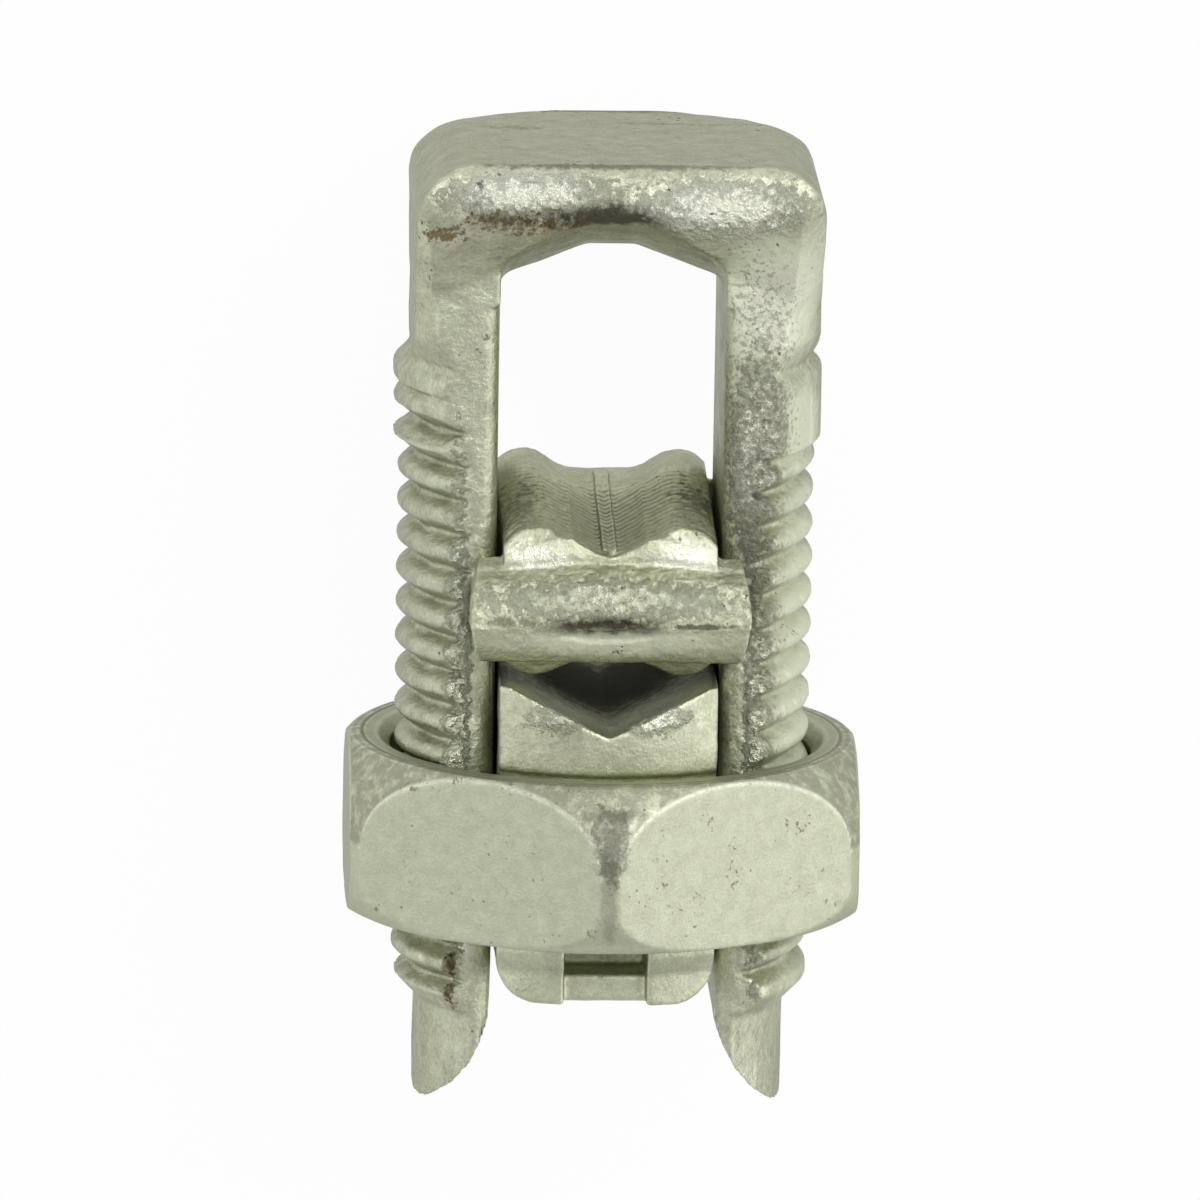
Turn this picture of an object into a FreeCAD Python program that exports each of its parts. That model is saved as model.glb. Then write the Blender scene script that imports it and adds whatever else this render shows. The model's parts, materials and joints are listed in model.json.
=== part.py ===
import FreeCAD, Part
import math
import os

# A split bolt wire connector: a forged bolt with two threaded legs, a hexagon nut,
# a pressure bar that the nut drives, and a loose spacer bar between two conductors.
#
# The pieces are modelled in the bolt's own frame, in millimetres, and laid down at the end.
# u runs across the two legs, v from the front to the back, and w from the leg tips to the head.

# Bolt: thread, legs and slot
thread_major_d = 19.05
pilot_d = 17.0
pilot_length = 5.6
shoulder_chamfer = 0.9
slot_width = 10.2
leg_depth = 12.2
slot_mouth_radius = 0.8
tip_inner_height = 4.5
tip_bulge = 0.45
tip_round = 0.45

# Bolt: shank, shoulders and head
overall_length = 44.3
head_length = 9.4
shank_d = 19.6
shank_length = 4.3
shoulder_left = 9.0
shoulder_right = 9.6
shoulder_envelope_d = 20.0
head_envelope_d = 23.4
head_corner_radius = 2.6
head_top_depth = 13.9
nose_radius = 2.2
nose_drop = 1.8
flare_length = 7.0
flare_rise = 1.9

# Bolt: window between the legs, under the head
crown_thickness = 4.7
roof_flat_width = 2.2
roof_slope = 20.0
roof_corner_radius = 0.8
roof_crown_radius = 13.0

# Nut
nut_across_flats = 23.3
nut_corner_width = 26.4
nut_height = 7.75
nut_top = 16.6
nut_bearing_d = 23.0
nut_crown_radius = 5.3
nut_base_d = 23.4
nut_base_radius = 2.3
nut_running_clearance = 0.05
nut_mouth_chamfer = 0.15

# Pressure bar
bar_side_clearance = 0.15
bar_seat_width = 0.25
bar_seat_gap = 0.03
bar_block_height = 3.9
groove_width = 9.2
groove_angle = 25.0
groove_bottom_radius = 0.5
stem_clearance = 0.15
stem_reach = 2.95
stem_corner_radius = 1.85
lip_overhang = 0.4
lip_height = 0.5
lip_gap = 0.1
lip_taper_height = 0.9
stake_width = 3.75
stake_setback = 1.2
stake_face_height = 1.25
stake_pocket_height = 1.6
stake_pocket_depth = 2.2

# Spacer bar, in its own frame: its middle is at the flanges' parting line
spacer_side_clearance = 0.25
spacer_flange_clearance = 0.08
spacer_middle_height = 7.5
spacer_pitch = 5.0
spacer_body_depth = 12.7
ridge_spacing = 7.4
ridge_top = 4.5
valley_top = 2.85
valley_top_width = 3.4
ridge_edge_drop = 1.3
ridge_bottom = 3.3
valley_bottom = 2.1
valley_bottom_width = 3.0
ridge_round = 1.4
end_slope = 58.0
end_spread = 1.2
rib_width = 0.65
rib_height = 0.35
rib_length = 12.0
flange_thickness = 2.0
flange_top = 1.9
flange_top_slope = 19.0
flange_bottom = 1.75
flange_bulge = 0.7
flange_half_width = 5.9
flange_end_bulge = 0.4

# Reach of the cutting solids past what they cut
REACH = 30.0

AXIS_U = FreeCAD.Vector(1, 0, 0)
AXIS_V = FreeCAD.Vector(0, 1, 0)
AXIS_W = FreeCAD.Vector(0, 0, 1)


def front_point(u, w):
    """A point of the front view, on the middle plane."""
    return FreeCAD.Vector(u, 0, w)


def side_point(v, w):
    """A point of the side view, on the middle plane."""
    return FreeCAD.Vector(0, v, w)


def plan_point(u, v):
    """A point of the view along the bolt's axis."""
    return FreeCAD.Vector(u, v, 0)


def line(start, end):
    return Part.LineSegment(start, end).toShape()


def arc(start, through, end):
    return Part.Arc(start, through, end).toShape()


def bulged(start, end, bulge):
    """An arc of the front view from start to end that stands out by bulge from its chord."""
    outward = (end - start).cross(AXIS_V).normalize()
    return arc(start, (start + end) * 0.5 + outward * bulge, end)


def face_of(edges):
    return Part.Face(Part.Wire(edges))


def polygon_face(points):
    return Part.Face(Part.makePolygon(points + [points[0]]))


def mirrored(points):
    """The points of the front view on the other side, in the opposite order."""
    return [front_point(-point.x, point.z) for point in reversed(points)]


def across(face, half_length):
    """Extrude a side-view face to both sides along u."""
    face = face.copy()
    face.translate(AXIS_U * -half_length)
    return face.extrude(AXIS_U * (2 * half_length))


def through(face, half_length):
    """Extrude a front-view face to both sides along v."""
    face = face.copy()
    face.translate(AXIS_V * -half_length)
    return face.extrude(AXIS_V * (2 * half_length))


def upward(face, low, high):
    """Extrude a plan face along the axis, from one height to another."""
    face = face.copy()
    face.translate(AXIS_W * low)
    return face.extrude(AXIS_W * (high - low))


def block(half_u, half_v, low, high):
    corner = FreeCAD.Vector(-half_u, -half_v, low)
    return Part.makeBox(2 * half_u, 2 * half_v, high - low, corner)


def revolved(face):
    """Revolve a front-view face about the bolt's axis."""
    return face.revolve(FreeCAD.Vector(0, 0, 0), AXIS_W, 360)


def turned(profile):
    """Revolve radius and height pairs about the bolt's axis."""
    return revolved(polygon_face([front_point(radius, height) for radius, height in profile]))


# Heights from the leg tips that follow from the overall length
shank_top = overall_length - head_length
thread_top = shank_top - shank_length
flare_start = overall_length - flare_length
roof_height = overall_length - crown_thickness

# The roof slopes down from its middle flat and turns into the slot's walls in a small arc
roof_corner_height = roof_height - (slot_width - roof_flat_width) / 2 * math.tan(math.radians(roof_slope))
roof_corner_tangent = roof_corner_radius * math.tan(math.radians((90 - roof_slope) / 2))
slot_top = roof_corner_height - roof_corner_tangent

# The head's nose is a circle in the side view, at the front and at the back
nose_height = overall_length - nose_drop
nose_offset = math.sqrt(nose_radius ** 2 - nose_drop ** 2)
nose_centre = head_top_depth / 2 - nose_offset
nose_top_angle = math.degrees(math.asin(nose_drop / nose_radius))


def nose_point(angle):
    """A point of the back nose circle, with the angle measured from level towards the head's top."""
    turn = math.radians(angle)
    return side_point(nose_centre + nose_radius * math.cos(turn), nose_height + nose_radius * math.sin(turn))


def flare_angle(foot_height):
    """The angle from upright of the flare, which runs from the leg's face into the nose without a kink."""
    along = nose_height - foot_height
    outward = nose_centre - leg_depth / 2
    return math.degrees(math.atan2(outward, along) + math.asin(nose_radius / math.hypot(along, outward)))


def bolt_side_wire(foot_height):
    """Legs with flat faces that flare out into the nose and close in the flat top."""
    angle = flare_angle(foot_height)
    flat_half = leg_depth / 2
    top_half = head_top_depth / 2
    foot = side_point(flat_half, foot_height)
    flare_end = nose_point(-angle)
    nose_middle = nose_point((nose_top_angle - angle) / 2)
    back = [side_point(flat_half, -1), foot, flare_end, nose_middle, side_point(top_half, overall_length)]
    front = [side_point(-point.y, point.z) for point in back]
    return Part.Wire([
        line(front[0], back[0]),
        line(back[0], back[1]),
        line(back[1], back[2]),
        arc(back[2], back[3], back[4]),
        line(back[4], front[4]),
        arc(front[4], front[3], front[2]),
        line(front[2], front[1]),
        line(front[1], front[0]),
    ])


def bolt_side_solid():
    """The side view's solid. The flare's foot rises from the head's outside to the slot's walls."""
    wall = slot_width / 2
    outside = shoulder_envelope_d / 2
    middle = across(Part.Face(bolt_side_wire(flare_start + flare_rise)), wall)
    inner_wire = bolt_side_wire(flare_start + flare_rise)
    inner_wire.translate(AXIS_U * wall)
    outer_wire = bolt_side_wire(flare_start)
    outer_wire.translate(AXIS_U * outside)
    right = Part.makeLoft([inner_wire, outer_wire], True, True)
    rim = Part.Face(outer_wire).extrude(AXIS_U * REACH)
    right = right.fuse(rim)
    left = right.mirror(FreeCAD.Vector(0, 0, 0), AXIS_U)
    return middle.fuse([right, left])


def bolt_turned_solid():
    """The round outside of the legs: pilot, thread and the shank above it."""
    thread_radius = thread_major_d / 2
    pilot_radius = pilot_d / 2
    shank_radius = shank_d / 2
    step = thread_radius - pilot_radius
    return turned([
        (0, 0),
        (pilot_radius, 0),
        (pilot_radius, pilot_length - step),
        (thread_radius, pilot_length),
        (thread_radius, thread_top),
        (shank_radius, thread_top),
        (shank_radius, shank_top - shoulder_chamfer),
        (shank_radius - shoulder_chamfer, shank_top),
        (0, shank_top),
    ])


def head_front_solid():
    """Shoulders and head in the front view, with rounded top corners."""
    low = shank_top - shoulder_chamfer
    radius = head_corner_radius
    left = -shoulder_left
    right = shoulder_right
    top = overall_length
    diagonal = radius * (1 - math.sqrt(0.5))
    edges = [
        line(front_point(left, low), front_point(right, low)),
        line(front_point(right, low), front_point(right, top - radius)),
        arc(front_point(right, top - radius), front_point(right - diagonal, top - diagonal),
            front_point(right - radius, top)),
        line(front_point(right - radius, top), front_point(left + radius, top)),
        arc(front_point(left + radius, top), front_point(left + diagonal, top - diagonal),
            front_point(left, top - radius)),
        line(front_point(left, top - radius), front_point(left, low)),
    ]
    return through(face_of(edges), REACH)


def head_envelope_solid():
    """A turned envelope that rounds the shoulders and the head's upright corners."""
    low = shank_top - shoulder_chamfer
    shoulder_radius = shoulder_envelope_d / 2
    inner = shoulder_radius - shoulder_chamfer
    return turned([
        (0, low),
        (inner, low),
        (shoulder_radius, shank_top + shoulder_chamfer),
        (shoulder_radius, flare_start),
        (head_envelope_d / 2, nose_height),
        (head_envelope_d / 2, overall_length + 1),
        (0, overall_length + 1),
    ])


def slot_solid():
    """The open slot between the legs, with rounded mouths at the front and back faces."""
    half = slot_width / 2
    radius = slot_mouth_radius
    face_v = leg_depth / 2
    diagonal = radius * (1 - math.sqrt(0.5))
    outer_u = half + radius
    edges = []
    for side in (1, -1):
        inner_back = plan_point(side * half, side * (face_v - radius))
        middle = plan_point(side * (half + diagonal), side * (face_v - diagonal))
        mouth = plan_point(side * outer_u, side * face_v)
        far = plan_point(side * outer_u, side * REACH)
        far_other = plan_point(-side * outer_u, side * REACH)
        mouth_other = plan_point(-side * outer_u, side * face_v)
        middle_other = plan_point(-side * (half + diagonal), side * (face_v - diagonal))
        inner_other = plan_point(-side * half, side * (face_v - radius))
        edges.append(arc(inner_back, middle, mouth))
        edges.append(line(mouth, far))
        edges.append(line(far, far_other))
        edges.append(line(far_other, mouth_other))
        edges.append(arc(mouth_other, middle_other, inner_other))
        edges.append(line(inner_other, plan_point(-side * half, -side * (face_v - radius))))
    return upward(face_of(edges), -1, slot_top)


def roof_profile_face():
    """The head's underside in the front view, from the roof up."""
    half = slot_width / 2
    flat_half = roof_flat_width / 2
    radius = roof_corner_radius
    slope = math.radians(roof_slope)
    corner = front_point(half, roof_corner_height)
    up_slope = front_point(-math.cos(slope), math.sin(slope))
    on_slope = corner + up_slope * roof_corner_tangent
    on_wall = front_point(half, slot_top)
    centre = on_wall - AXIS_U * radius
    bisector = (corner - centre).normalize()
    top = roof_height + roof_crown_radius - 1
    outside = half + 1
    edges = [
        line(front_point(-flat_half, roof_height), front_point(flat_half, roof_height)),
        line(front_point(flat_half, roof_height), on_slope),
        arc(on_slope, centre + bisector * radius, on_wall),
        line(on_wall, front_point(outside, on_wall.z - 1)),
        line(front_point(outside, on_wall.z - 1), front_point(outside, top)),
        line(front_point(outside, top), front_point(-outside, top)),
        line(front_point(-outside, top), front_point(-outside, on_wall.z - 1)),
        line(front_point(-outside, on_wall.z - 1), front_point(-on_wall.x, on_wall.z)),
        arc(front_point(-on_wall.x, on_wall.z),
            front_point(-(centre + bisector * radius).x, (centre + bisector * radius).z),
            front_point(-on_slope.x, on_slope.z)),
        line(front_point(-on_slope.x, on_slope.z), front_point(-flat_half, roof_height)),
    ]
    return face_of(edges)


def crown_solid():
    """The head's underside, crowned from front to back so that a conductor isn't cut."""
    axis_point = front_point(0, roof_height + roof_crown_radius)
    swing = 50
    face = roof_profile_face()
    face.rotate(axis_point, AXIS_U, -swing)
    return face.revolve(axis_point, AXIS_U, 2 * swing)


def window_solid():
    """The open space above the slot, as far up as the crowned roof."""
    space = block(slot_width / 2, REACH, slot_top - 1, nose_height)
    return space.cut(crown_solid())


def tip_solid():
    """What is cut from the leg tips, so that each ends in a point on its outer side."""
    outer = pilot_d / 2 - tip_round
    inner = slot_width / 2
    edges = [
        bulged(front_point(inner, tip_inner_height), front_point(outer, 0), -tip_bulge),
        line(front_point(outer, 0), front_point(outer, -REACH)),
        line(front_point(outer, -REACH), front_point(-outer, -REACH)),
        line(front_point(-outer, -REACH), front_point(-outer, 0)),
        bulged(front_point(-outer, 0), front_point(-inner, tip_inner_height), -tip_bulge),
        line(front_point(-inner, tip_inner_height), front_point(inner, tip_inner_height)),
    ]
    return through(face_of(edges), REACH)


def make_split_bolt():
    side = bolt_side_solid()
    legs = bolt_turned_solid().common(side)
    head = head_front_solid().common(side).common(head_envelope_solid())
    bolt = legs.fuse(head)
    bolt = bolt.cut(slot_solid().fuse(window_solid()))
    bolt = bolt.cut(tip_solid())
    return bolt.removeSplitter()


bore_radius = thread_major_d / 2 + nut_running_clearance
nut_bottom = nut_top - nut_height

# The nut's corners are turned to a wide curve above and a small one below
nut_corner_radius = nut_corner_width / 2
crown_centre = nut_corner_radius - nut_crown_radius
crown_height = nut_top - math.sqrt(nut_crown_radius ** 2 - (nut_bearing_d / 2 - crown_centre) ** 2)
base_centre = nut_corner_radius - nut_base_radius
base_height = nut_bottom + math.sqrt(nut_base_radius ** 2 - (nut_base_d / 2 - base_centre) ** 2)


def arc_about(centre, radius, start_angle, end_angle):
    """An arc of the front view, with its angles measured from level on the right."""
    turns = [math.radians(angle) for angle in (start_angle, (start_angle + end_angle) / 2, end_angle)]
    return arc(*[centre + front_point(radius * math.cos(turn), radius * math.sin(turn)) for turn in turns])


def nut_envelope_solid():
    """A turned envelope that cuts the hexagon's corners blunt and curves them above and below."""
    crown_angle = math.degrees(math.acos((nut_bearing_d / 2 - crown_centre) / nut_crown_radius))
    base_angle = math.degrees(math.acos((nut_base_d / 2 - base_centre) / nut_base_radius))
    return revolved(face_of([
        line(front_point(0, nut_bottom), front_point(nut_base_d / 2, nut_bottom)),
        arc_about(front_point(base_centre, base_height), nut_base_radius, -base_angle, 0),
        line(front_point(nut_corner_radius, base_height), front_point(nut_corner_radius, crown_height)),
        arc_about(front_point(crown_centre, crown_height), nut_crown_radius, 0, crown_angle),
        line(front_point(nut_bearing_d / 2, nut_top), front_point(0, nut_top)),
        line(front_point(0, nut_top), front_point(0, nut_bottom)),
    ]))


def make_hex_nut():
    """A hexagon with blunt, curved corners, one of which points to the front."""
    sharp_radius = nut_across_flats / 2 / math.cos(math.radians(30))
    corners = []
    for index in range(6):
        turn = math.radians(30 + 60 * index)
        corners.append(plan_point(sharp_radius * math.cos(turn), sharp_radius * math.sin(turn)))
    nut = upward(polygon_face(corners), nut_bottom, nut_top).common(nut_envelope_solid())
    mouth = bore_radius + nut_mouth_chamfer
    return nut.cut(turned([
        (0, nut_bottom - 1),
        (mouth + 1, nut_bottom - 1),
        (bore_radius, nut_bottom + nut_mouth_chamfer),
        (bore_radius, nut_top - nut_mouth_chamfer),
        (mouth + 1, nut_top + 1),
        (0, nut_top + 1),
    ]))


bar_half_width = slot_width / 2 - bar_side_clearance
bar_bottom = nut_top + bar_seat_gap
bar_top = bar_bottom + bar_block_height
block_radius = bore_radius + nut_mouth_chamfer + bar_seat_width
stem_radius = bore_radius - stem_clearance
stem_bottom = nut_bottom - stem_reach


def bar_front_face():
    """The bar in the front view: a grooved block on a stem with rounded lower corners."""
    half = bar_half_width
    groove_half = groove_width / 2
    slope = math.radians(groove_angle)
    groove_bottom = bar_top - groove_half * math.tan(slope)
    radius = groove_bottom_radius
    tangent = radius * math.tan(slope / 2)
    right = front_point(tangent * math.cos(slope), groove_bottom + tangent * math.sin(slope))
    left = front_point(-right.x, right.z)
    lowest = front_point(0, groove_bottom + radius / math.cos(slope) - radius)
    corner = stem_corner_radius
    diagonal = corner * (1 - math.sqrt(0.5))
    edges = [
        arc(left, lowest, right),
        line(right, front_point(groove_half, bar_top)),
        line(front_point(groove_half, bar_top), front_point(half, bar_top)),
        line(front_point(half, bar_top), front_point(half, stem_bottom + corner)),
        arc(front_point(half, stem_bottom + corner),
            front_point(half - diagonal, stem_bottom + diagonal),
            front_point(half - corner, stem_bottom)),
        line(front_point(half - corner, stem_bottom), front_point(corner - half, stem_bottom)),
        arc(front_point(corner - half, stem_bottom),
            front_point(diagonal - half, stem_bottom + diagonal),
            front_point(-half, stem_bottom + corner)),
        line(front_point(-half, stem_bottom + corner), front_point(-half, bar_top)),
        line(front_point(-half, bar_top), front_point(-groove_half, bar_top)),
        line(front_point(-groove_half, bar_top), left),
    ]
    return face_of(edges)


def make_pressure_bar():
    """The bar rests on the nut, and a lip swaged out below holds the nut on its stem."""
    lip_top = nut_bottom - lip_gap
    lip_low = lip_top - lip_height
    lip_radius = bore_radius + lip_overhang
    outside = turned([
        (0, stem_bottom - 1),
        (stem_radius, stem_bottom - 1),
        (stem_radius, lip_low - lip_taper_height),
        (lip_radius, lip_low),
        (lip_radius, lip_top),
        (stem_radius, lip_top),
        (stem_radius, bar_bottom),
        (block_radius, bar_bottom),
        (block_radius, bar_top + 1),
        (0, bar_top + 1),
    ])
    bar = through(bar_front_face(), REACH).common(outside)
    face_v = stem_radius - stake_setback
    pocket_v = face_v - stake_pocket_depth
    pocket_low = stem_bottom + stake_face_height
    for side in (1, -1):
        notch = Part.makeBox(stake_width, REACH, stake_face_height + stake_pocket_height,
                             FreeCAD.Vector(-stake_width / 2, face_v, stem_bottom))
        pocket = Part.makeBox(stake_width, REACH, stake_pocket_height,
                              FreeCAD.Vector(-stake_width / 2, pocket_v, pocket_low))
        mark = notch.fuse(pocket)
        if side < 0:
            mark.rotate(FreeCAD.Vector(0, 0, 0), AXIS_W, 180)
        bar = bar.cut(mark)
    return bar.removeSplitter()


spacer_half_width = slot_width / 2 - spacer_side_clearance
pitch = math.radians(spacer_pitch)
flange_inner = (leg_depth / 2 + spacer_flange_clearance
                + (flange_top + flange_thickness * math.tan(math.radians(flange_top_slope))) * math.sin(pitch)
                ) / math.cos(pitch)
flange_outer = flange_inner + flange_thickness


def saddle_points(ridge, valley, valley_width):
    """The upper line of a saddle in the front view, from the right edge to the left one."""
    ridge_u = ridge_spacing / 2
    right = [
        front_point(spacer_half_width, ridge - ridge_edge_drop),
        front_point(ridge_u, ridge),
        front_point(valley_width / 2, valley),
    ]
    return right + mirrored(right)


def rounded_line(points, radius):
    """Edges through the points, with an arc of the radius at each point between the ends."""
    edges = []
    start = points[0]
    for before, corner, after in zip(points, points[1:], points[2:]):
        back = (before - corner).normalize()
        ahead = (after - corner).normalize()
        half_turn = back.getAngle(ahead) / 2
        tangent = radius / math.tan(half_turn)
        enter = corner + back * tangent
        leave = corner + ahead * tangent
        centre = corner + (back + ahead).normalize() * (radius / math.sin(half_turn))
        middle = centre + (corner - centre).normalize() * radius
        edges.append(line(start, enter))
        edges.append(arc(enter, middle, leave))
        start = leave
    edges.append(line(start, points[-1]))
    return edges


def saddle_solid():
    """The spacer's body between the legs: two ridges and a valley, above and below."""
    upper = saddle_points(ridge_top, valley_top, valley_top_width)
    lower = [FreeCAD.Vector(point.x, 0, -point.z)
             for point in reversed(saddle_points(ridge_bottom, valley_bottom, valley_bottom_width))]
    edges = rounded_line(upper, ridge_round)
    edges.append(line(upper[-1], lower[0]))
    edges += rounded_line(lower, ridge_round)
    edges.append(line(lower[-1], upper[0]))
    body = through(face_of(edges), flange_outer)
    end = spacer_body_depth / 2
    far = end + end_spread
    drop = end_spread * math.tan(math.radians(end_slope))
    ends = polygon_face([
        side_point(end, ridge_top),
        side_point(far, ridge_top - drop),
        side_point(far, drop - ridge_bottom),
        side_point(end, -ridge_bottom),
        side_point(-end, -ridge_bottom),
        side_point(-far, drop - ridge_bottom),
        side_point(-far, ridge_top - drop),
        side_point(-end, ridge_top),
    ])
    return body.common(across(ends, REACH))


def flange_solid():
    """The back flange bar: flat towards the leg, sloped above and bulged at its outer face."""
    slope_rise = flange_thickness * math.tan(math.radians(flange_top_slope))
    inner_top = side_point(flange_inner, flange_top + slope_rise)
    outer_top = side_point(flange_outer, flange_top)
    outer_bottom = side_point(flange_outer, -flange_bottom)
    inner_bottom = side_point(flange_inner, -flange_bottom)
    section = face_of([
        line(inner_bottom, outer_bottom),
        arc(outer_bottom, side_point(flange_outer + flange_bulge, 0), outer_top),
        line(outer_top, inner_top),
        line(inner_top, inner_bottom),
    ])
    half = flange_half_width
    high = flange_top + slope_rise
    outline = face_of([
        line(front_point(-half, -flange_bottom), front_point(half, -flange_bottom)),
        arc(front_point(half, -flange_bottom), front_point(half + flange_end_bulge, 0),
            front_point(half, high)),
        line(front_point(half, high), front_point(-half, high)),
        arc(front_point(-half, high), front_point(-half - flange_end_bulge, 0),
            front_point(-half, -flange_bottom)),
    ])
    return across(section, REACH).common(through(outline, REACH))


def make_spacer_bar():
    """A loose double saddle whose flanges hold it on the legs. It sits tipped in its clearance."""
    spacer = saddle_solid()
    rib = block(rib_width / 2, rib_length / 2, 0, valley_top + rib_height)
    spacer = spacer.fuse(rib)
    for turn in (0, 180):
        flange = flange_solid()
        flange.rotate(FreeCAD.Vector(0, 0, 0), AXIS_W, turn)
        spacer = spacer.fuse(flange)
    spacer = spacer.removeSplitter()
    spacer.rotate(FreeCAD.Vector(0, 0, 0), AXIS_U, spacer_pitch)
    spacer.translate(AXIS_W * (nut_top + spacer_middle_height))
    return spacer


def lying_angle():
    """The angle by which the axis leans down to the head when the part lies on its back.

    It then rests on the curve of the nut's back corner and on the head's back nose.
    """
    along = nose_height - crown_height
    down = crown_centre - nose_centre
    spread = math.asin((nut_crown_radius - nose_radius) / math.hypot(along, down))
    return math.degrees(math.atan2(down, along) + spread)


def laid_down(shapes):
    """Turn the pieces so that the front faces up, with the origin on the floor under the box's middle."""
    angle = lying_angle()
    for shape in shapes.values():
        shape.rotate(FreeCAD.Vector(0, 0, 0), AXIS_U, -90 - angle)
    boxes = [shape.optimalBoundingBox(False, False) for shape in shapes.values()]
    box = boxes[0]
    for other in boxes[1:]:
        box.add(other)
    shift = FreeCAD.Vector(-(box.XMin + box.XMax) / 2, -(box.YMin + box.YMax) / 2, -box.ZMin)
    for shape in shapes.values():
        shape.translate(shift)
    print("axis leans", round(angle, 3), "degrees; box", round(box.XLength, 3), round(box.YLength, 3),
          round(box.ZLength, 3), "; shift", [round(value, 3) for value in shift])
    return shapes


def main():
    os.makedirs("parts", exist_ok=True)
    pieces = laid_down({
        "split_bolt": make_split_bolt(),
        "hex_nut": make_hex_nut(),
        "pressure_bar": make_pressure_bar(),
        "spacer_bar": make_spacer_bar(),
    })
    for name, shape in pieces.items():
        solids = shape.Solids
        print(name, "solids", len(solids), "valid", shape.isValid(), "volume", round(shape.Volume, 1))
        solids[0].exportStep(os.path.join("parts", name + ".step"))


main()
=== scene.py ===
# %% [markdown]
# # A split bolt wire connector
#
# The real object is four pieces of tin-plated copper alloy. A forged bolt has a head and two
# threaded legs. A hexagon nut runs on both legs and pushes a grooved bar up between them. A loose
# spacer bar sits between the two conductors that the connector joins.
#
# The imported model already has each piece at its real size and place, so it is loaded first and
# everything else is built around it. The joints of that model also say where the bolt's axis is.

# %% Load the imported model
import bpy
import bmesh
import json
import math
from mathutils import Matrix, Vector, noise


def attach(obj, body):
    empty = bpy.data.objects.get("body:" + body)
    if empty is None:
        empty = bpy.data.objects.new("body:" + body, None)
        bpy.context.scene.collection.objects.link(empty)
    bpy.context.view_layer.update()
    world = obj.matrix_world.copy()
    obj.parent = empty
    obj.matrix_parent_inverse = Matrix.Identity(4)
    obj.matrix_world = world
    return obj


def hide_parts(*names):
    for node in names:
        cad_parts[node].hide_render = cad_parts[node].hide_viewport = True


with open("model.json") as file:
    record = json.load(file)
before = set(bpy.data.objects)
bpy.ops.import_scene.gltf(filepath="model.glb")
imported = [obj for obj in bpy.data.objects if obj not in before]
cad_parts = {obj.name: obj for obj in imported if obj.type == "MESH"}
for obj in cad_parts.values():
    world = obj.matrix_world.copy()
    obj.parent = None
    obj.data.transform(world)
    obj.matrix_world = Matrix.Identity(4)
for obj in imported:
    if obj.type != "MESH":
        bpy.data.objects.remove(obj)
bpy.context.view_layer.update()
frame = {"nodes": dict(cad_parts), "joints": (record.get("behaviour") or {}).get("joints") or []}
print("nodes:", sorted(frame["nodes"]))

# %% [markdown]
# ## A workbench for the pieces
#
# The connector lies on its back with its axis leaning, which makes plain numbers awkward. So each
# piece is made on a workbench, where u runs across the legs, v runs from the front to the back and
# w runs up the axis from the leg tips, in millimetres. A single matrix takes a finished piece from
# there to its real place in metres. It is read from the joints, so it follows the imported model.

# %% The matrix from the workbench to the floor
joints = {joint["name"]: joint for joint in frame["joints"]}
axis_up = Vector(joints["bar_travel"]["axis"]).normalized()
across = Vector((1, 0, 0))
backward = axis_up.cross(across)
nut_low = 8.85
nut_high = 16.6
nut_middle = (nut_low + nut_high) / 2
leg_tips = Vector(joints["nut_turn"]["pos_m"]) - axis_up * nut_middle / 1000
turn_part = Matrix((across, backward, axis_up)).transposed().to_4x4()
TO_FLOOR = Matrix.Translation(leg_tips) @ turn_part @ Matrix.Scale(0.001, 4)
TO_BENCH = TO_FLOOR.inverted()
print("leg tips at", [round(value * 1000, 2) for value in leg_tips], "mm")


# %% Helpers: put a mesh on the bench, and bake its modifiers
def bench_object(name, bm):
    """A bench object that holds the bmesh."""
    mesh = bpy.data.meshes.new(name)
    bm.to_mesh(mesh)
    bm.free()
    obj = bpy.data.objects.new(name, mesh)
    bpy.context.scene.collection.objects.link(obj)
    return obj


def packed_copy(node):
    """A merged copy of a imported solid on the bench."""
    bm = bmesh.new()
    bm.from_mesh(frame["nodes"][node].data)
    bmesh.ops.transform(bm, matrix=TO_BENCH, verts=bm.verts)
    bmesh.ops.remove_doubles(bm, verts=bm.verts, dist=0.001)
    return bm


def bake_modifiers(obj):
    """Replace an object's mesh by the one that its modifiers give."""
    depsgraph = bpy.context.evaluated_depsgraph_get()
    mesh = bpy.data.meshes.new_from_object(obj.evaluated_get(depsgraph), depsgraph=depsgraph)
    obj.modifiers.clear()
    obj.data = mesh
    return obj


def combine(obj, tool, operation):
    """Cut or intersect with a tool object, which is used up."""
    modifier = obj.modifiers.new(operation.lower(), "BOOLEAN")
    modifier.operation = operation
    modifier.solver = "EXACT"
    modifier.object = tool
    bake_modifiers(obj)
    bpy.data.objects.remove(tool)
    return obj


# %% [markdown]
# ## A skin for forged and plated metal
#
# Forging and tumbling round every edge a little, and the tin fills the sharp inner corners. Bevels
# would need a clean edge everywhere, also where a thread runs out on a flat. A voxel remesh turns
# the solid into an even, dense skin instead, and relaxing that skin rounds all its edges alike.
# Dense skins are heavy, so a skin that has more is thinned to just under 200,000 triangles.

# %% Helpers: a dense, relaxed skin
def relax_once(bm, verts):
    """Move each point half the way to the middle of its neighbours."""
    bmesh.ops.smooth_vert(bm, verts=verts, factor=0.5, use_axis_x=True, use_axis_y=True, use_axis_z=True)


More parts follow.
